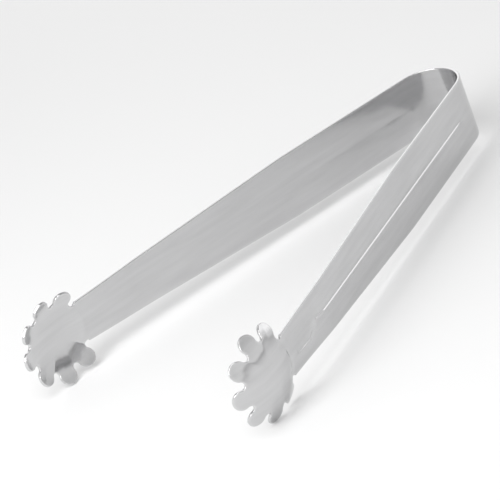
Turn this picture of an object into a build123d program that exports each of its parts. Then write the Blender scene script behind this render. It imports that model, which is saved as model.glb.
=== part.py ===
"""Ice tongs: one strip of sheet steel bent round a spring bow, with a clawed bowl at each end.

Millimetres and degrees. +X runs from the bow towards the claws, +Y is the side of the left
arm, +Z is up across the strip. The origin is the centre of the bounding box's underside.
"""
import os
from math import acos, asin, cos, degrees, radians, sin, sqrt

from build123d import *

# Driving dimensions
SHEET = 1.0
ARM_LENGTH = 152.0
STRIP_WIDTH = 22.3
BOW_RADIUS = 12.5
HALF_OPENING = 14.3
CLAW_RADIUS = 16.2
BOWL_TILT = 8.3
PADDLE_PITCH = 40.0
CREASE_HEIGHT = 0.65

# Proportions of the arms
TAPER_START = 0.354 * ARM_LENGTH
CREASE_START = 0.06 * ARM_LENGTH
CREASE_FADE = 0.74 * ARM_LENGTH
CREASE_END = 0.80 * ARM_LENGTH
NECK_START = 0.87 * ARM_LENGTH
NECK_WIDTH = 0.91 * CLAW_RADIUS

# Proportions of the claws
BOWL_RADIUS = 1.69 * CLAW_RADIUS
BOWL_DROP = 0.012 * CLAW_RADIUS
PADDLE_RADIUS = 0.197 * CLAW_RADIUS
PADDLE_REACH = CLAW_RADIUS - PADDLE_RADIUS
NOTCH_REACH = 0.767 * CLAW_RADIUS
PADDLES_EACH_SIDE = 3

# The still middle of the bow, between the two parts that flex
CROWN_HALF_ARC = 8.0
BOW_HALF_ARC = 90.0 - HALF_OPENING


def polar_angle(reach):
    """The angle from the bowl's axis to a point of the bowl at this reach from the axis."""
    return asin(reach / BOWL_RADIUS)


PADDLE_POLAR = polar_angle(PADDLE_REACH)
NOTCH_POLAR = polar_angle(NOTCH_REACH)

# A notch just touches the paddles on both sides of it
HALF_PITCH = radians(PADDLE_PITCH / 2)
PADDLE_TO_NOTCH = acos(
    cos(PADDLE_POLAR) * cos(NOTCH_POLAR) + sin(PADDLE_POLAR) * sin(NOTCH_POLAR) * cos(HALF_PITCH)
)
NOTCH_RADIUS = BOWL_RADIUS * sin(PADDLE_TO_NOTCH - asin(PADDLE_RADIUS / BOWL_RADIUS))
TOUCH_SHARE = PADDLE_RADIUS / (PADDLE_RADIUS + NOTCH_RADIUS)
PALM_RADIUS = PADDLE_REACH + (NOTCH_REACH - PADDLE_REACH) * TOUCH_SHARE

# The bowl's sphere, and the plane where arm and claw meet, measured along and out from the arm
SPHERE_ALONG = ARM_LENGTH - BOWL_RADIUS * sin(radians(BOWL_TILT))
SPHERE_OUT = BOWL_DROP - BOWL_RADIUS * cos(radians(BOWL_TILT))
ARM_END = ARM_LENGTH - NOTCH_REACH * cos(radians(PADDLE_PITCH)) * cos(radians(BOWL_TILT))

# The left arm's directions, and the lengths that put the origin under the middle of the tongs
ALONG = Vector(cos(radians(HALF_OPENING)), sin(radians(HALF_OPENING)), 0)
OUTWARD = Vector(-ALONG.Y, ALONG.X, 0)
FACE_HEIGHT = sqrt((BOWL_RADIUS + SHEET / 2) ** 2 - PADDLE_RADIUS**2)
END_LEAN = PADDLE_POLAR - radians(HALF_OPENING - BOWL_TILT)
SPHERE_FORWARD = SPHERE_ALONG * ALONG.X + (BOW_RADIUS + SPHERE_OUT) * OUTWARD.X
FRONT = SPHERE_FORWARD + FACE_HEIGHT * sin(END_LEAN) + PADDLE_RADIUS * cos(END_LEAN)
BACK = -BOW_RADIUS - SHEET / 2


def side_reach(paddle):
    """How far up the strip's width this paddle reaches, counted from the paddle at the tip."""
    rise = sin(PADDLE_POLAR) * sin(radians(paddle * PADDLE_PITCH))
    return FACE_HEIGHT * rise + PADDLE_RADIUS * sqrt(1 - rise**2)


MID_HEIGHT = max(side_reach(paddle) for paddle in range(PADDLES_EACH_SIDE + 1))
BOW_CENTRE = Vector(-(FRONT + BACK) / 2, 0, MID_HEIGHT)


def arm_point(along, out):
    """A point at this distance along the left arm and this height out from its sheet."""
    return BOW_CENTRE + ALONG * along + OUTWARD * (BOW_RADIUS + out)


def arm_plane(along):
    """A plane square across the left arm: local x points out of the tongs, local y up."""
    return Plane(origin=arm_point(along, 0), x_dir=OUTWARD, z_dir=ALONG)


def strip_width(along):
    """The strip's width: even near the bow, then tapering to the neck."""
    if along <= TAPER_START:
        return STRIP_WIDTH
    share = (along - TAPER_START) / (ARM_END - TAPER_START)
    return STRIP_WIDTH + (NECK_WIDTH - STRIP_WIDTH) * share


def creased_half(along, rise):
    """The upper half of a section folded along its middle, so that its ridge stands out by rise."""
    top = strip_width(along) / 2
    Polyline(
        (rise + SHEET / 2, 0),
        (SHEET / 2, top),
        (-SHEET / 2, top),
        (rise - SHEET / 2, 0),
        close=True,
    )


def dished_half():
    """The upper half of the section where the arm meets the bowl, on the bowl's two spheres."""
    top = strip_width(ARM_END) / 2
    run = ARM_END - SPHERE_ALONG
    faces = []
    for radius in (BOWL_RADIUS + SHEET / 2, BOWL_RADIUS - SHEET / 2):
        points = [(SPHERE_OUT + sqrt(radius**2 - run**2 - z**2), z) for z in (0, top / 2, top)]
        faces.append(ThreePointArc(*points))
    Line(faces[0] @ 0, faces[1] @ 0)
    Line(faces[0] @ 1, faces[1] @ 1)


# The claw's plane through its sphere's centre: local x points to the bow, local y up
CLAW_ANGLE = radians(HALF_OPENING - BOWL_TILT)
CLAW_OUT = Vector(-sin(CLAW_ANGLE), cos(CLAW_ANGLE), 0)
CLAW_BACK = Vector(-cos(CLAW_ANGLE), -sin(CLAW_ANGLE), 0)
SPHERE_CENTRE = arm_point(SPHERE_ALONG, SPHERE_OUT)
CLAW_PLANE = Plane(origin=SPHERE_CENTRE, x_dir=CLAW_BACK, z_dir=CLAW_OUT)


def punch(azimuth, polar, radius, how):
    """A round punch square to the bowl, azimuth counted from the direction of the bow."""
    turn = radians(azimuth)
    sideways = CLAW_BACK * cos(turn) + Vector(0, 0, 1) * sin(turn)
    through = CLAW_OUT * cos(polar) + sideways * sin(polar)
    start = SPHERE_CENTRE + through * (BOWL_RADIUS - 2 * SHEET)
    with BuildSketch(Plane(origin=start, z_dir=through)) as hole:
        Circle(radius)
    extrude(hole.sketch, amount=4 * SHEET, mode=how)


def bow_piece(start, end):
    """The bow's strip between two angles about the bow's centre."""
    outer = BOW_RADIUS + SHEET / 2
    inner = BOW_RADIUS - SHEET / 2
    with BuildSketch(Plane.XY.offset(BOW_CENTRE.Z)) as curve:
        with BuildLine():
            outside = CenterArc((BOW_CENTRE.X, 0), outer, start, end - start)
            inside = CenterArc((BOW_CENTRE.X, 0), inner, start, end - start)
            Line(outside @ 0, inside @ 0)
            Line(outside @ 1, inside @ 1)
        make_face()
    extrude(curve.sketch, amount=STRIP_WIDTH / 2, both=True)


# Bow: a still crown and the two flanks that flex
with BuildPart() as bow_crown:
    bow_piece(180 - CROWN_HALF_ARC, 180 + CROWN_HALF_ARC)

with BuildPart() as bow_flank_left:
    bow_piece(180 - BOW_HALF_ARC, 180 - CROWN_HALF_ARC)

with BuildPart() as bow_flank_right:
    mirror(bow_flank_left.part, about=Plane.XZ)

# Arms: flat at the bow, folded along the middle, flat again before the neck, dished at the end
CREASE_STATIONS = (
    (0, 0),
    (CREASE_START, CREASE_HEIGHT),
    (TAPER_START, CREASE_HEIGHT),
    (CREASE_FADE, CREASE_HEIGHT),
    (CREASE_END, 0),
    (NECK_START, 0),
)

with BuildPart() as arm_left:
    for station, rise in CREASE_STATIONS:
        with BuildSketch(arm_plane(station)):
            with BuildLine():
                creased_half(station, rise)
            make_face()
    with BuildSketch(arm_plane(ARM_END)):
        with BuildLine():
            dished_half()
        make_face()
    loft(ruled=True)
    mirror(about=Plane.XY.offset(MID_HEIGHT))
    for side in (-1, 1):
        punch(side * PADDLE_PITCH, NOTCH_POLAR, NOTCH_RADIUS, Mode.SUBTRACT)

with BuildPart() as arm_right:
    mirror(arm_left.part, about=Plane.XZ)

# Claws: a dished palm with paddles and notches punched square to the sheet
with BuildPart() as claw_left:
    with BuildSketch(CLAW_PLANE.offset(BOWL_RADIUS / 2)):
        Circle(PALM_RADIUS)
    extrude(amount=BOWL_RADIUS)
    split(bisect_by=arm_plane(ARM_END), keep=Keep.TOP)
    for paddle in range(-PADDLES_EACH_SIDE, PADDLES_EACH_SIDE + 1):
        punch(180 + paddle * PADDLE_PITCH, PADDLE_POLAR, PADDLE_RADIUS, Mode.ADD)
    for side in (-1, 1):
        for notch in range(1, PADDLES_EACH_SIDE + 2):
            punch(side * notch * PADDLE_PITCH, NOTCH_POLAR, NOTCH_RADIUS, Mode.SUBTRACT)
    with Locations(SPHERE_CENTRE):
        Sphere(BOWL_RADIUS + SHEET / 2, mode=Mode.INTERSECT)
        Sphere(BOWL_RADIUS - SHEET / 2, mode=Mode.SUBTRACT)

with BuildPart() as claw_right:
    mirror(claw_left.part, about=Plane.XZ)

os.makedirs("parts", exist_ok=True)

bow_crown.part.label = "bow_crown"
export_step(bow_crown.part, "parts/bow_crown.step")
bow_flank_left.part.label = "bow_flank_left"
export_step(bow_flank_left.part, "parts/bow_flank_left.step")
bow_flank_right.part.label = "bow_flank_right"
export_step(bow_flank_right.part, "parts/bow_flank_right.step")
arm_left.part.label = "arm_left"
export_step(arm_left.part, "parts/arm_left.step")
arm_right.part.label = "arm_right"
export_step(arm_right.part, "parts/arm_right.step")
claw_left.part.label = "claw_left"
export_step(claw_left.part, "parts/claw_left.step")
claw_right.part.label = "claw_right"
export_step(claw_right.part, "parts/claw_right.step")
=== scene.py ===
"""Ice tongs bent from one strip of polished steel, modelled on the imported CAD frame. Metres.

Each side of the tongs is a thin sheet described by its height over the arm's flat plane.
u runs along the arm from the bow, z across the strip from its middle, and height outwards.
"""

from math import acos, asin, atan2, cos, hypot, pi, radians, sin, sqrt

import bpy
import numpy as np
from mathutils import Matrix, Vector
from mathutils.geometry import delaunay_2d_cdt


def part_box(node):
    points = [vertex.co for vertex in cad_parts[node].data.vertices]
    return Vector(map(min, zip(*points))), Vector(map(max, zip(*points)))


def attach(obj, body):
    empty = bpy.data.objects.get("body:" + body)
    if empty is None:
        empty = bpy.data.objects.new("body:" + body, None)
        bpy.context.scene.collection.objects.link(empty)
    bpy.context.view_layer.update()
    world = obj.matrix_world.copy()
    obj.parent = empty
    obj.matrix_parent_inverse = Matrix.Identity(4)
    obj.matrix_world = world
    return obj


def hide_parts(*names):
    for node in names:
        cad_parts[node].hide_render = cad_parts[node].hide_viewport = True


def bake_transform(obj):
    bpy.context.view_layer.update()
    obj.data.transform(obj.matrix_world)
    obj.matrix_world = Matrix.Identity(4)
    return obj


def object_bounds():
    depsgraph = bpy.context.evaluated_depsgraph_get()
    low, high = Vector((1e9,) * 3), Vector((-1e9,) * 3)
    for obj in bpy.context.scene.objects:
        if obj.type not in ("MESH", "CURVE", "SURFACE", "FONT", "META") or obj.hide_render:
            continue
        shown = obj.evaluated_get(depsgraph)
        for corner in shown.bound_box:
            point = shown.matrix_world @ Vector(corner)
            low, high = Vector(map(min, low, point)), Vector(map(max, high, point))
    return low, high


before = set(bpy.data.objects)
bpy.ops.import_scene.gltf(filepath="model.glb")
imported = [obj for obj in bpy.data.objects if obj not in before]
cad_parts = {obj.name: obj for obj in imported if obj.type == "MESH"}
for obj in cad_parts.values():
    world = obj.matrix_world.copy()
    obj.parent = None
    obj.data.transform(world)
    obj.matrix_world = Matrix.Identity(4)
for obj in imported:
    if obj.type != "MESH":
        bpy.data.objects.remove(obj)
cad_low, cad_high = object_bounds()
bpy.context.scene.view_settings.view_transform = "Standard"

# ---------------------------------------------------------------- the frame's dimensions
MM = 0.001
SHEET = 1.0 * MM
HALF_OPENING = radians(14.3)
ARM_LENGTH = 152.0 * MM
CLAW_RADIUS = 16.2 * MM
BOWL_TILT = radians(8.3)
PITCH = radians(40.0)
PADDLES_EACH_SIDE = 3
CROWN_HALF_ARC = radians(8.0)

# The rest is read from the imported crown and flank. BOW_RADIUS is to the middle of the sheet.
crown_low, crown_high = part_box("bow_crown")
flank_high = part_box("bow_flank_left")[1]
STRIP_WIDTH = crown_high.z - crown_low.z
MID_HEIGHT = (crown_high.z + crown_low.z) / 2
BOW_RADIUS = flank_high.y / cos(HALF_OPENING) - SHEET / 2
BOW_X = crown_low.x + BOW_RADIUS + SHEET / 2

# ---------------------------------------------------------------- the sheet's shape
# The crease along the arm's middle, and the fine rib and groove that run along it outside.
CREASE_HEIGHT = 0.65 * MM
CREASE_ROUND = 0.45 * MM
CREASE_START = 0.06 * ARM_LENGTH
CREASE_FADE = 0.772 * ARM_LENGTH
CREASE_END = 0.80 * ARM_LENGTH
RIB_HEIGHT = 0.22 * MM
RIB_HALF_WIDTH = 0.95 * MM
RIB_OFFSET = 0.4 * MM
GROOVE_SHARE = 0.55
RIB_START = 0.06 * ARM_LENGTH
RIB_END = 0.815 * ARM_LENGTH
RIB_FADE = 0.02 * ARM_LENGTH
TAPER_START = 0.354 * ARM_LENGTH
NECK_WIDTH = 0.91 * CLAW_RADIUS

# The claw: a shell cut from a sphere, with rounded paddles and round notches between them.
BOWL_RADIUS = 1.69 * CLAW_RADIUS
BOWL_DROP = 0.012 * CLAW_RADIUS
PADDLE_RADIUS = 0.197 * CLAW_RADIUS
PADDLE_POLAR = asin((CLAW_RADIUS - PADDLE_RADIUS) / BOWL_RADIUS)
NOTCH_REACH = 0.767 * CLAW_RADIUS
NOTCH_POLAR = asin(NOTCH_REACH / BOWL_RADIUS)
SPHERE_ALONG = ARM_LENGTH - BOWL_RADIUS * sin(BOWL_TILT)
BOX_CLEARANCE = 0.012 * MM  # keeps the bowl's folds inside the CAD box
SPHERE_OUT = BOWL_DROP - BOX_CLEARANCE - BOWL_RADIUS * cos(BOWL_TILT)
NODE_SPLIT = ARM_LENGTH - NOTCH_REACH * cos(PITCH) * cos(BOWL_TILT)
FOLD_ROUND = radians(2.5)
FACET_SHARE = 0.9

# The palm's rim and the neck, with its dish in the outer face.
PALM_RIM = 0.715 * CLAW_RADIUS
RIM_SOFTNESS = 0.8 * MM
NECK_EDGE_ANGLE = radians(33)
NECK_EDGE_SOFTNESS = radians(8)
NECK_SINK_START = 0.74 * ARM_LENGTH
NECK_SINK_END = 0.925 * ARM_LENGTH
DISH_MIDDLE = np.array((0.868 * ARM_LENGTH, 1.5 * MM))
DISH_REACH = np.array((10.5 * MM, 6.0 * MM))
DISH_FLAT = 0.7
DISH_DEPTH = 0.4 * MM
DISH_LEAN = 0.9
RIM_STEP = 0.4 * MM

# The mesh. The arm is a grid up to GRID_END, its lines closest together along the crease, where
# ACROSS counts them from the middle to the edge. Triangles fill the rest, up to the outline.
EDGE_ROUND = 0.28 * MM
EDGE_STEPS = 4
FACE_STEP = 0.55 * MM
ARM_STEP = 1.6 * MM
BOW_STEP = radians(2.0)
SLOPE_STEP = 0.02 * MM
GRID_END = 0.895 * ARM_LENGTH
ACROSS = (0.015, 0.03, 0.045, 0.06, 0.075, 0.09, 0.11, 0.15, 0.2, 0.3, 0.45, 0.6, 0.8, 0.94, 1.0)
LINES = [-share for share in reversed(ACROSS)] + [0.0] + list(ACROSS)
PADDLE_TURNS = 30
NOTCH_TURNS = 14
CORNER_TURNS = 8
NOTCH_SEARCH = 721
LATTICE_RATIO = sqrt(0.75)
JOINT_CLEARANCE = 0.45 * FACE_STEP
BORDER_CLEARANCE = 0.55 * FACE_STEP
FACES_INSIDE = 1
MERGE_DISTANCE = 1e-7

# The strip's edge turns into the first notch round a corner, below NECK_TOP.
NECK_TOP = 0.55 * NECK_WIDTH
CORNER_ROUND = 0.9 * MM
UP = np.array((0, 0, 1.0))


def smooth(x):
    """0 below 0, 1 above 1, with a smooth step between."""
    x = np.clip(x, 0, 1)
    return x * x * (3 - 2 * x)


def half_width(u):
    """Half the strip's width: even near the bow, then tapering to the neck at NODE_SPLIT."""
    share = np.clip((u - TAPER_START) / (NODE_SPLIT - TAPER_START), 0, None)
    return (STRIP_WIDTH + (NECK_WIDTH - STRIP_WIDTH) * share) / 2


def bowl_height(u, z):
    """Height of the bowl's sphere over the arm's plane."""
    return SPHERE_OUT + np.sqrt(np.maximum(BOWL_RADIUS**2 - (u - SPHERE_ALONG) ** 2 - z**2, 0))


def fold_rise(u, z):
    """How far a bowl of flattened paddles stands out past the sphere, most at the notches."""
    reach = np.hypot(ARM_LENGTH - u, z)
    turn = np.abs(np.arctan2(z, ARM_LENGTH - u))
    from_fold = np.abs(turn - PITCH * np.round(turn / PITCH))
    rounded = np.sqrt(from_fold**2 + FOLD_ROUND**2) - FOLD_ROUND
    return FACET_SHARE * (reach * np.sin(PITCH / 2 - rounded)) ** 2 / (2 * BOWL_RADIUS)


NECK_SINK = -float(bowl_height(np.array(ARM_LENGTH - PALM_RIM), np.array(0.0)))
NECK_EDGE_U = ARM_LENGTH - sqrt(PALM_RIM**2 - (NECK_WIDTH / 2) ** 2)
EDGE_SINK = -float(bowl_height(np.array(NECK_EDGE_U), np.array(NECK_WIDTH / 2)))


def fold_share(u):
    """How much of the fold along the arm's middle is there: none at the bow and at the neck."""
    return smooth(u / CREASE_START) * (1 - smooth((u - CREASE_FADE) / (CREASE_END - CREASE_FADE)))


def arm_height(u, z):
    """Height of the arm: folded along the middle, then a neck that sinks to meet the bowl."""
    across = np.sqrt(z**2 + CREASE_ROUND**2) - CREASE_ROUND
    fold = fold_share(u) * CREASE_HEIGHT * (1 - across / half_width(u))
    sink = smooth((u - NECK_SINK_START) / (NECK_SINK_END - NECK_SINK_START))
    curl = (EDGE_SINK - NECK_SINK) * (2 * z / NECK_WIDTH) ** 2
    return fold - sink * (NECK_SINK + curl - RIM_STEP)


def height(u, z):
    """Height of the sheet's middle over the arm's plane, arm and bowl blended at the palm's rim."""
    reach = np.hypot(ARM_LENGTH - u, z)
    turn = np.abs(np.arctan2(z, ARM_LENGTH - u))
    inside = smooth((PALM_RIM + RIM_SOFTNESS - reach) / (2 * RIM_SOFTNESS))
    beside = smooth((turn - NECK_EDGE_ANGLE) / NECK_EDGE_SOFTNESS) * (u > GRID_END)
    share = 1 - (1 - inside) * (1 - beside)
    bowl = bowl_height(u, z) + beside * fold_rise(u, z)
    return share * bowl + (1 - share) * arm_height(u, z)


def outer_height(u, z):
    """The same for the outer face, with a fine rib under a groove and a dish at the neck."""
    taper = smooth(u / RIB_START) * smooth((RIB_END - u) / RIB_FADE)
    ridge = 1 - smooth(np.abs(z + RIB_OFFSET) / RIB_HALF_WIDTH)
    groove = 1 - smooth(np.abs(z - RIB_OFFSET) / RIB_HALF_WIDTH)
    rib = RIB_HEIGHT * taper * (ridge - GROOVE_SHARE * groove)
    along = (u - DISH_MIDDLE[0]) / DISH_REACH[0]
    across = (z - DISH_MIDDLE[1]) / DISH_REACH[1]
    within = 1 - smooth((np.hypot(along, across) - DISH_FLAT) / (1 - DISH_FLAT))
    dish = DISH_DEPTH * (1 - DISH_LEAN * across) * within
    return height(u, z) + rib - dish


def side_frame():
    """Where the left arm leaves the bow, and the directions along it and out of it."""
    along = np.array((cos(HALF_OPENING), sin(HALF_OPENING), 0))
    out = np.array((-sin(HALF_OPENING), cos(HALF_OPENING), 0))
    origin = np.array((BOW_X, 0, MID_HEIGHT)) + out * BOW_RADIUS
    return origin, along, out


def side_points(uz, shape=height):
    """Points on the left side's sheet and unit normals outwards, from rows of (u, z)."""
    u, z = uz[:, 0], uz[:, 1]
    origin, along, out = side_frame()
    step = SLOPE_STEP
    slope_u = (shape(u + step, z) - shape(u - step, z)) / (2 * step)
    slope_z = (shape(u, z + step) - shape(u, z - step)) / (2 * step)
    points = origin + u[:, None] * along + shape(u, z)[:, None] * out + z[:, None] * UP
    normals = out - slope_u[:, None] * along - slope_z[:, None] * UP
    return points, normals / np.linalg.norm(normals, axis=1)[:, None]


# ---------------------------------------------------------------- the outline of one side
def sphere_uz(polar, azimuth, radius, turn):
    """(u, z) of a point on a circle on the bowl's sphere, at a turn counted from outwards.

    polar and azimuth place the circle's middle; azimuth is counted from the bow's direction.
    """
    out = np.array((sin(BOWL_TILT), cos(BOWL_TILT), 0))
    back = np.array((-cos(BOWL_TILT), sin(BOWL_TILT), 0))
    side = back * cos(azimuth) + UP * sin(azimuth)
    axis = out * cos(polar) + side * sin(polar)
    away = side * cos(polar) - out * sin(polar)
    across = np.cross(axis, away)
    spread = asin(radius / BOWL_RADIUS)
    point = axis * cos(spread) + (away * cos(turn) + across * sin(turn)) * sin(spread)
    return SPHERE_ALONG + BOWL_RADIUS * point[0], BOWL_RADIUS * point[2]


def centre_gap():
    """Angle at the sphere's centre between a paddle's middle and the next notch's middle."""
    level = cos(PADDLE_POLAR) * cos(NOTCH_POLAR)
    return acos(level + sin(PADDLE_POLAR) * sin(NOTCH_POLAR) * cos(PITCH / 2))


NOTCH_RADIUS = BOWL_RADIUS * sin(centre_gap() - asin(PADDLE_RADIUS / BOWL_RADIUS))


def turn_towards(polar, azimuth, other_polar, other_azimuth):
    """The turn on one circle that faces the middle of another circle."""
    gap = other_azimuth - azimuth
    away = sin(other_polar) * cos(gap) * cos(polar) - cos(other_polar) * sin(polar)
    across = sin(other_polar) * sin(gap)
    return atan2(across, away)


def neck_corner():
    """Where the strip's edge turns into the first notch: the arc of the corner, and its end."""
    notch_u, notch_z = sphere_uz(NOTCH_POLAR, PITCH, 0, 0)
    bottom_u, bottom_z = sphere_uz(NOTCH_POLAR, PITCH, NOTCH_RADIUS, pi)
    notch = hypot(bottom_u - notch_u, bottom_z - notch_z)
    level = NECK_WIDTH / 2 - CORNER_ROUND
    middle_u = notch_u - sqrt((CORNER_ROUND + notch) ** 2 - (notch_z - level) ** 2)
    middle_z = float(half_width(middle_u)) - CORNER_ROUND
    last = atan2(notch_z - middle_z, notch_u - middle_u)

    def on_corner(turn):
        return middle_u + CORNER_ROUND * cos(turn), middle_z + CORNER_ROUND * sin(turn)

    turns = np.linspace(pi / 2, last, CORNER_TURNS + 1)[:-1]
    return [on_corner(turn) for turn in turns], on_corner(last)


def arc_points(polar, azimuth, radius, first, last, count):
    """Points on a circle from one turn to another, without the last."""
    turns = np.linspace(first, last, count + 1)[:-1]
    return [sphere_uz(polar, azimuth, radius, turn) for turn in turns]


def turn_of(point, azimuth):
    """The turn on a notch whose point lies nearest to this one."""
    turns = np.linspace(-pi, 0, NOTCH_SEARCH)
    found = [sphere_uz(NOTCH_POLAR, azimuth, NOTCH_RADIUS, turn) for turn in turns]
    apart = [hypot(u - point[0], z - point[1]) for u, z in found]
    return turns[int(np.argmin(apart))]


def upper_outline():
    """The outline of the claw above z = 0, from the end of the arm's grid to the front paddle."""
    corner, meets = neck_corner()
    edge_end = corner[0][0]
    count = int((edge_end - GRID_END) / FACE_STEP) + 2
    points = [(u, float(half_width(u))) for u in np.linspace(GRID_END, edge_end, count)[:-1]]
    points += corner
    half = PITCH / 2
    for number in range(1, PADDLES_EACH_SIDE + 2):
        azimuth = number * PITCH
        if number == 1:
            first = turn_of(meets, azimuth)
        else:
            first = turn_towards(NOTCH_POLAR, azimuth, PADDLE_POLAR, azimuth - half)
        last = turn_towards(NOTCH_POLAR, azimuth, PADDLE_POLAR, azimuth + half) - 2 * pi
        points += arc_points(NOTCH_POLAR, azimuth, NOTCH_RADIUS, first, last, NOTCH_TURNS)
        azimuth += half
        first = turn_towards(PADDLE_POLAR, azimuth, NOTCH_POLAR, azimuth - half)
        last = -first
        turns = PADDLE_TURNS
        if number == PADDLES_EACH_SIDE + 1:
            last = 0
            turns = PADDLE_TURNS // 2
        points += arc_points(PADDLE_POLAR, azimuth, PADDLE_RADIUS, first, last, turns)
    neck = [i for i in range(len(points)) if points[i][1] < NECK_TOP]
    crossing = min(neck, key=lambda i: abs(points[i][0] - NODE_SPLIT))
    points[crossing] = (NODE_SPLIT, points[crossing][1])
    tip = sphere_uz(PADDLE_POLAR, pi, PADDLE_RADIUS, 0)
    return np.array(points), np.array((tip[0], 0.0))


def inset(points, amount):
    """An open chain of points moved to its right by this amount, its ends kept square."""
    step = np.gradient(points, axis=0)
    step /= np.linalg.norm(step, axis=1)[:, None]
    return points + amount * np.stack((step[:, 1], -step[:, 0]), axis=1)


# ---------------------------------------------------------------- the flat layout of one side
def grid_faces(rows):
    """The faces of a grid of vertices that has one vertex for each of LINES in every row."""
    wide = len(LINES)
    faces = []
    for row in range(rows - 1):
        for column in range(wide - 1):
            start = row * wide + column
            faces.append((start, start + wide, start + wide + 1, start + 1))
    return faces


def claw_outline():
    """The whole outline beyond the grid, and the same moved inwards to where the faces end."""
    upper, tip = upper_outline()
    chain = np.vstack((upper, [tip], upper[::-1] * (1, -1)))
    inner = inset(chain, EDGE_ROUND)
    grid_edge = float(half_width(GRID_END)) - EDGE_ROUND
    inner[0] = (GRID_END, grid_edge)
    inner[-1] = (GRID_END, -grid_edge)
    splits = [i for i in range(len(chain)) if chain[i][0] == NODE_SPLIT]
    for i in splits:
        inner[i][0] = NODE_SPLIT
    return chain, inner, splits


def filler(loop):
    """Points of a triangular lattice inside a closed loop, clear of its border and the joint."""
    low, high = loop.min(axis=0), loop.max(axis=0)
    following = np.roll(loop, -1, axis=0)
    found = []
    lines = int((high[1] - low[1]) / (FACE_STEP * LATTICE_RATIO))
    for line in range(-lines, lines + 1):
        z = line * FACE_STEP * LATTICE_RATIO
        shift = FACE_STEP / 2 * (line % 2)
        for u in np.arange(low[0] + shift, high[0], FACE_STEP):
            if abs(u - NODE_SPLIT) < JOINT_CLEARANCE:
                continue
            crosses = (loop[:, 1] > z) != (following[:, 1] > z)
            rise = np.where(crosses, following[:, 1] - loop[:, 1], 1)
            at = loop[:, 0] + (z - loop[:, 1]) * (following[:, 0] - loop[:, 0]) / rise
            if np.count_nonzero(crosses & (at > u)) % 2 == 0:
                continue
            if np.min(np.hypot(loop[:, 0] - u, loop[:, 1] - z)) > BORDER_CLEARANCE:
                found.append((float(u), float(z)))
    return found


def flat_layout():
    """One side laid out flat, before it gets thickness.

    Returns its vertices (u, z), its faces, its rim as pairs of a vertex and the place outside it
    on the outline, the line of vertices at the bow, and the line where arm and claw meet.
    """
    rows = np.linspace(0, GRID_END, int(GRID_END / ARM_STEP) + 1)
    points = []
    for u in rows:
        points += [(u, share * (float(half_width(u)) - EDGE_ROUND)) for share in LINES]
    wide = len(LINES)
    faces = grid_faces(len(rows))

    # The loop round the claw: the grid's last row, then the outline. The joint crosses it.
    chain, inner, splits = claw_outline()
    last_row = range((len(rows) - 1) * wide, len(rows) * wide)
    loop = [points[i] for i in last_row] + [tuple(place) for place in inner[1:-1]]
    border = [(i, (i + 1) % len(loop)) for i in range(len(loop))]
    given = list(loop)
    top = inner[splits[0]][1]
    stations = [float(z) for z in np.linspace(-top, top, 2 * int(top / FACE_STEP) + 1)]
    joint = [wide - 1 + splits[1]]
    for z in stations[1:-1]:
        joint.append(len(given))
        given.append((NODE_SPLIT, z))
    joint.append(wide - 1 + splits[0])
    given += filler(np.array(loop))
    edges = border + list(zip(joint[:-1], joint[1:]))
    around = [list(reversed(range(len(loop))))]
    given = [Vector(point) for point in given]
    made = delaunay_2d_cdt(given, edges, around, FACES_INSIDE, MERGE_DISTANCE)
    corners, triangles, came_from = made[0], made[2], made[3]

    # The loop's first vertices are the grid's own, so that the claw grows out of the grid.
    place = {}
    for index, sources in enumerate(came_from):
        for source in sources:
            place[source] = index
    number = {}
    for source, index in place.items():
        if source < wide:
            number[index] = last_row[source]
    for index, vertex in enumerate(corners):
        if index not in number:
            number[index] = len(points)
            points.append((vertex.x, vertex.y))
    for face in triangles:
        faces.append(tuple(number[i] for i in face))

    edge = [float(half_width(u)) for u in rows]
    rim = [(row * wide + wide - 1, (rows[row], edge[row])) for row in range(len(rows))]
    rim += [(number[place[wide - 1 + i]], tuple(chain[i])) for i in range(1, len(chain) - 1)]
    rim += [(row * wide, (rows[row], -edge[row])) for row in reversed(range(len(rows)))]
    start_line = list(range(wide))
    joint_line = [number[place[i]] for i in joint]
    return np.array(points), faces, rim, start_line, joint_line


# ---------------------------------------------------------------- thickness and rounded edges
def edge_profile():
    """Stations round the sheet's edge, outer face first: share outwards, height and turn."""
    flat = SHEET / 2 - EDGE_ROUND
    turns = [pi / 2 * step / EDGE_STEPS for step in range(1, EDGE_STEPS + 1)]
    upper = [(sin(turn), flat + EDGE_ROUND * cos(turn), turn) for turn in turns]
    lower = [(share, -rise, pi - turn) for share, rise, turn in reversed(upper)]
    return upper + lower


def thicken(points, normals, faces, rim, beyond):
    """Both faces of a sheet, and the vertices of its rounded edge.

    rim lists the sheet's border vertices in order, and beyond the unit directions out of the
    sheet there. Returns vertices, normals and faces, and one ring of vertices for each of rim.
    """
    count = len(points)
    outer = points + normals * SHEET / 2
    inner = points - normals * SHEET / 2
    verts = [*outer, *inner]
    norms = [*normals, *(-normals)]
    made = [tuple(reversed(face)) for face in faces]
    made += [tuple(i + count for i in face) for face in faces]
    profile = edge_profile()
    rings = []
    for vertex, away in zip(rim, beyond):
        ring = [vertex]
        for share, rise, turn in profile:
            ring.append(len(verts))
            verts.append(points[vertex] + away * share * EDGE_ROUND + normals[vertex] * rise)
            norms.append(normals[vertex] * cos(turn) + away * sin(turn))
        ring.append(vertex + count)
        rings.append(ring)
    return verts, norms, made, rings


def edge_wear(count, rings):
    """1 on the rounded edge and 0 on both faces, vertex by vertex."""
    wear = np.zeros(count)
    for ring in rings:
        wear[ring] = 1
    return wear


def stitch(first, second):
    """Faces between two neighbouring stations of the edge."""
    steps = range(len(first) - 1)
    return [(first[k], first[k + 1], second[k + 1], second[k]) for k in steps]


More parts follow.
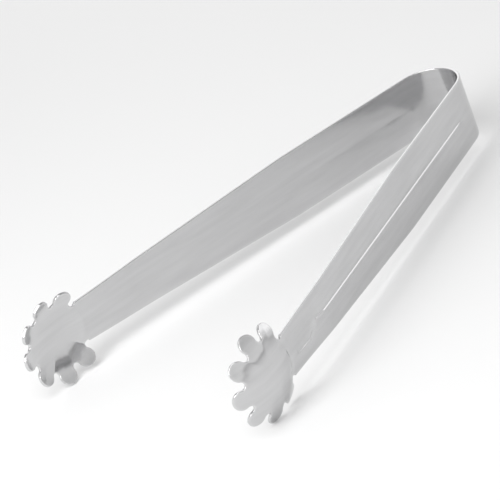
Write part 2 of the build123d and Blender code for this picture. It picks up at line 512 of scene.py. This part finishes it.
def mesh_piece(name, verts, norms, faces, caps, grain, mirror, wear):
    """One mesh object from shared vertex lists. caps are its flat hidden ends.

    mirror is 1 on the left and -1 on the right, where the piece is turned over in y.
    """
    used = sorted({i for face in faces + caps for i in face})
    new = {old: index for index, old in enumerate(used)}
    flip = np.array((1, mirror, 1))
    coords = [np.array(verts[i]) * flip for i in used]
    polygons = [[new[i] for i in face] for face in faces + caps]
    if mirror < 0:
        polygons = [list(reversed(polygon)) for polygon in polygons]
    mesh = bpy.data.meshes.new(name)
    mesh.from_pydata([tuple(place) for place in coords], [], polygons)
    mesh.polygons.foreach_set("use_smooth", [True] * len(polygons))
    worn = mesh.attributes.new("edge_wear", "FLOAT", "POINT")
    worn.data.foreach_set("value", [wear[i] for i in used])
    layer = mesh.uv_layers.new(name="grain")
    custom = []
    for polygon in mesh.polygons:
        flat_end = polygon.index >= len(faces)
        for loop in polygon.loop_indices:
            old = used[mesh.loops[loop].vertex_index]
            layer.data[loop].uv = (grain[old][0] * mirror, grain[old][1])
            custom.append(tuple(polygon.normal if flat_end else np.array(norms[old]) * flip))
    mesh.normals_split_custom_set(custom)
    piece = bpy.data.objects.new(name, mesh)
    bpy.context.scene.collection.objects.link(piece)
    return piece


def on_arm(u, z):
    """Whether a face there is the arm's; the first notch's paddles reach back beside the neck."""
    return u < GRID_END or (u < NODE_SPLIT and abs(z) < NECK_TOP)


def build_side(name, mirror):
    """The arm and claw of one side, made in one go so that they meet without a seam."""
    points, faces, rim, start_line, joint_line = flat_layout()
    centres, normals = side_points(points)
    rim_vertices = [vertex for vertex, _ in rim]
    edges, _ = side_points(np.array([place for _, place in rim]))
    beyond = edges - centres[rim_vertices]
    facing = normals[rim_vertices]
    beyond -= np.sum(beyond * facing, axis=1)[:, None] * facing
    beyond /= np.linalg.norm(beyond, axis=1)[:, None]
    verts, norms, made, rings = thicken(centres, normals, faces, rim_vertices, beyond)
    outer, outer_normals = side_points(points, outer_height)
    verts[: len(points)] = [*(outer + outer_normals * SHEET / 2)]
    norms[: len(points)] = [*outer_normals]

    grain = np.zeros((len(verts), 2))
    flat = np.vstack((points, points))
    grain[: len(flat)] = flat
    for (_, place), ring in zip(rim, rings):
        grain[ring[1:-1]] = place
    grain[:, 0] += BOW_RADIUS * (pi / 2 - HALF_OPENING)

    wear = edge_wear(len(verts), rings)

    arm_faces = []
    claw_faces = []
    for face in made:
        u, z = flat[list(face)].mean(axis=0)
        owner = arm_faces if on_arm(u, z) else claw_faces
        owner.append(face)
    ends = [i for i in range(len(rim)) if rim[i][0] in (joint_line[0], joint_line[-1])]
    for i in range(len(rings) - 1):
        owner = claw_faces if ends[0] <= i < ends[1] else arm_faces
        owner.extend(stitch(rings[i], rings[i + 1]))

    count = len(points)
    joint_cap = section(joint_line, rings[ends[0]], rings[ends[1]], count)
    bow_cap = section(start_line, rings[0], rings[-1], count)
    arm_caps = [joint_cap, bow_cap[::-1]]
    claw_caps = [joint_cap[::-1]]
    arm = mesh_piece(name + "_arm", verts, norms, arm_faces, arm_caps, grain, mirror, wear)
    claw = mesh_piece(name + "_claw", verts, norms, claw_faces, claw_caps, grain, mirror, wear)
    return arm, claw


def section(line, top_ring, bottom_ring, count):
    """The closed loop of vertices round the sheet's cross section along a line of vertices."""
    inner = [i + count for i in reversed(line)]
    return line + top_ring[1:-1] + inner + bottom_ring[1:-1][::-1]


def bow_points(turns, heights):
    """The bow's middle surface: points and normals, row by row of turns about its centre."""
    points = []
    normals = []
    for turn in turns:
        out = np.array((cos(turn), sin(turn), 0))
        for z in heights:
            points.append(np.array((BOW_X, 0, MID_HEIGHT + z)) + out * BOW_RADIUS)
            normals.append(out)
    return np.array(points), np.array(normals)


def build_bow(name, first, last, mirror):
    """One stretch of the bow between two turns, as a bent strip with rounded edges."""
    rows = int(abs(last - first) / BOW_STEP) + 2
    turns = np.linspace(first, last, rows)
    edge = STRIP_WIDTH / 2 - EDGE_ROUND
    points, normals = bow_points(turns, [share * edge for share in LINES])
    wide = len(LINES)
    top = [row * wide + wide - 1 for row in range(rows)]
    bottom = [row * wide for row in range(rows)]
    rim = top + bottom
    beyond = [UP] * rows + [-UP] * rows
    verts, norms, made, rings = thicken(points, normals, grid_faces(rows), rim, beyond)
    for row in range(rows - 1):
        made += stitch(rings[row], rings[row + 1])
        made += stitch(rings[rows + row + 1], rings[rows + row])

    count = len(points)
    grain = np.zeros((len(verts), 2))
    flat = np.array([(BOW_RADIUS * (pi - turn), share * edge) for turn in turns for share in LINES])
    grain[: 2 * count] = np.vstack((flat, flat))
    for vertex, ring in zip(rim, rings):
        grain[ring[1:-1]] = flat[vertex]
    near = section(list(range(wide)), rings[0], rings[rows], count)
    last_row = list(range(count - wide, count))
    far = section(last_row, rings[rows - 1], rings[-1], count)
    wear = edge_wear(len(verts), rings)
    return mesh_piece(name, verts, norms, made, [near[::-1], far], grain, mirror, wear)


# ---------------------------------------------------------------- the steel
# Noises over the grain map, which counts metres along the strip and across it.
GRAIN_SCALE = (70, 4200)
MARKS_SCALE = (40, 420)
SCUFFS_SCALE = (900, 900)
NOISE_LOW = 0.3
NOISE_HIGH = 0.7
DARK_STEEL = (0.55, 0.55, 0.555, 1)
LIGHT_STEEL = (0.61, 0.61, 0.615, 1)
WORN_STEEL = (0.66, 0.66, 0.665, 1)
GRAIN_ROUGHNESS = (-0.015, 0.025)
MARKS_ROUGHNESS = (0.10, 0.15)
WEAR_ROUGHNESS = (0, 0.10)
WEAR_RANGE = (0.2, 1.0)
MARKS_HEIGHT = (0, 2)
BUMP_STRENGTH = 0.12
BUMP_HEIGHT = 0.01 * MM


def noise(tree, place, scale, detail, rough):
    """Noise stretched along the strip and across it."""
    stretch = tree.nodes.new("ShaderNodeMapping")
    stretch.inputs["Scale"].default_value = (*scale, 1)
    tree.links.new(place, stretch.inputs["Vector"])
    made = tree.nodes.new("ShaderNodeTexNoise")
    made.inputs["Scale"].default_value = 1.0
    made.inputs["Detail"].default_value = detail
    made.inputs["Roughness"].default_value = rough
    tree.links.new(stretch.outputs["Vector"], made.inputs["Vector"])
    return made.outputs["Fac"]


def spread(tree, value, low_high):
    """A noise's middle range brought to another range."""
    ranged = tree.nodes.new("ShaderNodeMapRange")
    ranged.inputs["From Min"].default_value = NOISE_LOW
    ranged.inputs["From Max"].default_value = NOISE_HIGH
    ranged.inputs["To Min"].default_value = low_high[0]
    ranged.inputs["To Max"].default_value = low_high[1]
    tree.links.new(value, ranged.inputs["Value"])
    return ranged.outputs["Result"]


def combine(tree, operation, first, second):
    """The sum or the product of two values."""
    both = tree.nodes.new("ShaderNodeMath")
    both.operation = operation
    tree.links.new(first, both.inputs[0])
    tree.links.new(second, both.inputs[1])
    return both.outputs["Value"]


def steel():
    """Polished stainless steel with a faint grain along the strip and soft handling marks."""
    material = bpy.data.materials.new("polished_steel")
    material.use_nodes = True
    tree = material.node_tree
    nodes, links = tree.nodes, tree.links
    shader = nodes["Principled BSDF"]
    shader.inputs["Metallic"].default_value = 1.0

    grain_map = nodes.new("ShaderNodeUVMap")
    grain_map.uv_map = "grain"
    place = grain_map.outputs["UV"]
    grain = noise(tree, place, GRAIN_SCALE, detail=2.0, rough=0.6)
    marks = noise(tree, place, MARKS_SCALE, detail=4.0, rough=0.55)
    scuffs = noise(tree, place, SCUFFS_SCALE, detail=3.0, rough=0.6)
    edge = nodes.new("ShaderNodeAttribute")
    edge.attribute_name = "edge_wear"
    wear = combine(tree, "MULTIPLY", edge.outputs["Fac"], spread(tree, scuffs, WEAR_RANGE))

    fine = spread(tree, grain, GRAIN_ROUGHNESS)
    soft = spread(tree, marks, MARKS_ROUGHNESS)
    worn = spread(tree, wear, WEAR_ROUGHNESS)
    rough = combine(tree, "ADD", combine(tree, "ADD", fine, soft), worn)
    links.new(rough, shader.inputs["Roughness"])

    tone = nodes.new("ShaderNodeMix")
    tone.data_type = "RGBA"
    tone.inputs["A"].default_value = DARK_STEEL
    tone.inputs["B"].default_value = LIGHT_STEEL
    links.new(spread(tree, marks, (0, 1)), tone.inputs["Factor"])
    colour = nodes.new("ShaderNodeMix")
    colour.data_type = "RGBA"
    colour.inputs["B"].default_value = WORN_STEEL
    links.new(wear, colour.inputs["Factor"])
    links.new(tone.outputs["Result"], colour.inputs["A"])
    links.new(colour.outputs["Result"], shader.inputs["Base Color"])

    bump = nodes.new("ShaderNodeBump")
    bump.inputs["Strength"].default_value = BUMP_STRENGTH
    bump.inputs["Distance"].default_value = BUMP_HEIGHT
    uneven = combine(tree, "ADD", grain, spread(tree, marks, MARKS_HEIGHT))
    links.new(uneven, bump.inputs["Height"])
    links.new(bump.outputs["Normal"], shader.inputs["Normal"])
    return material


STEEL = steel()


def stands_for(piece, node):
    """Gives a piece its steel and lets it stand for a CAD node."""
    piece.data.materials.append(STEEL)
    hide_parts(node)


# ---------------------------------------------------------------- the pieces
# Turns about the bow's middle where the left flank starts and ends.
CROWN_EDGE = pi - CROWN_HALF_ARC
TANGENT = pi / 2 + HALF_OPENING


crown = build_bow("crown", 2 * pi - CROWN_EDGE, CROWN_EDGE, 1)
stands_for(crown, "bow_crown")
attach(crown, "bow")

for side, mirror in (("left", 1), ("right", -1)):
    arm, claw = build_side(side, mirror)
    stands_for(arm, "arm_" + side)
    stands_for(claw, "claw_" + side)
    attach(arm, side + "_side")
    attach(claw, side + "_side")
    flank = build_bow(side + "_flank", CROWN_EDGE, TANGENT, mirror)
    stands_for(flank, "bow_flank_" + side)
    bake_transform(flank)

# ---------------------------------------------------------------- floor, light and camera
middle = (cad_low + cad_high) / 2
LENGTH = cad_high.x - cad_low.x
FLOOR_REACH = 20 * LENGTH
FLOOR_COLOUR = (0.86, 0.86, 0.86, 1)
FLOOR_ROUGHNESS = 0.9
LIGHT_AT_FLOOR = 1.05
LIGHT_OVERHEAD = 0.35
SENSOR_WIDTH = 36
NEAREST_SEEN = 0.1 * LENGTH
FARTHEST_SEEN = 100 * LENGTH


def pale_floor():
    """A wide pale sheet under the tongs."""
    corners = []
    for x, y in ((-1, -1), (1, -1), (1, 1), (-1, 1)):
        corners.append((x * FLOOR_REACH, y * FLOOR_REACH, cad_low.z))
    mesh = bpy.data.meshes.new("floor")
    mesh.from_pydata(corners, [], [(0, 1, 2, 3)])
    floor = bpy.data.objects.new("floor", mesh)
    bpy.context.scene.collection.objects.link(floor)
    material = bpy.data.materials.new("pale_floor")
    material.use_nodes = True
    shader = material.node_tree.nodes["Principled BSDF"]
    shader.inputs["Base Color"].default_value = FLOOR_COLOUR
    shader.inputs["Roughness"].default_value = FLOOR_ROUGHNESS
    mesh.materials.append(material)


def studio_walls():
    """A white studio all round, brightest at the level of the floor and dimmer overhead."""
    world = bpy.data.worlds.new("studio")
    world.use_nodes = True
    nodes, links = world.node_tree.nodes, world.node_tree.links
    direction = nodes.new("ShaderNodeTexCoord")
    parts = nodes.new("ShaderNodeSeparateXYZ")
    links.new(direction.outputs["Generated"], parts.inputs["Vector"])
    dimmer = nodes.new("ShaderNodeMapRange")
    dimmer.inputs["To Min"].default_value = LIGHT_AT_FLOOR
    dimmer.inputs["To Max"].default_value = LIGHT_OVERHEAD
    links.new(parts.outputs["Z"], dimmer.inputs["Value"])
    nodes["Background"].inputs["Color"].default_value = (1, 1, 1, 1)
    links.new(dimmer.outputs["Result"], nodes["Background"].inputs["Strength"])
    bpy.context.scene.world = world


def soft_box(name, place, size, power):
    """A square soft light at a place counted in tongs lengths from their middle, facing them."""
    light = bpy.data.lights.new(name, "AREA")
    light.shape = "SQUARE"
    light.size = size * LENGTH
    light.energy = power
    lamp = bpy.data.objects.new(name, light)
    lamp.location = middle + Vector(place) * LENGTH
    lamp.rotation_mode = "QUATERNION"
    lamp.rotation_quaternion = (middle - lamp.location).to_track_quat("-Z", "Y")
    bpy.context.scene.collection.objects.link(lamp)


def camera(azimuth, elevation, roll, distance, lens, aim):
    """A camera looking at aim from an azimuth and elevation, turned by roll about its own axis."""
    back = Vector((sin(azimuth) * cos(elevation), -cos(azimuth) * cos(elevation), sin(elevation)))
    level = Vector((0, 0, 1)).cross(back).normalized()
    upright = back.cross(level)
    right = level * cos(roll) + upright * sin(roll)
    up = back.cross(right)
    data = bpy.data.cameras.new("camera")
    data.lens = lens
    data.sensor_width = SENSOR_WIDTH
    data.clip_start = NEAREST_SEEN
    data.clip_end = FARTHEST_SEEN
    made = bpy.data.objects.new("camera", data)
    place = aim + back * distance
    made.matrix_world = Matrix((
        (right.x, up.x, back.x, place.x),
        (right.y, up.y, back.y, place.y),
        (right.z, up.z, back.z, place.z),
        (0, 0, 0, 1),
    ))
    bpy.context.scene.collection.objects.link(made)
    bpy.context.scene.camera = made


pale_floor()
studio_walls()
soft_box("key", place=(1.3, 0.5, 2.9), size=2.4, power=1.35)
soft_box("front", place=(3.2, 0.1, 1.7), size=1.6, power=1.6)
soft_box("back", place=(-1.8, -2.2, 1.4), size=2.4, power=0.35)
soft_box("side", place=(-2.6, 1.6, 0.9), size=1.3, power=0.1)
camera(
    azimuth=radians(141.37),
    elevation=radians(26.5),
    roll=radians(-21.6),
    distance=0.961,
    lens=213.3,
    aim=middle + Vector((0.0127, -0.0108, 0.0006)),
)

bpy.context.view_layer.update()
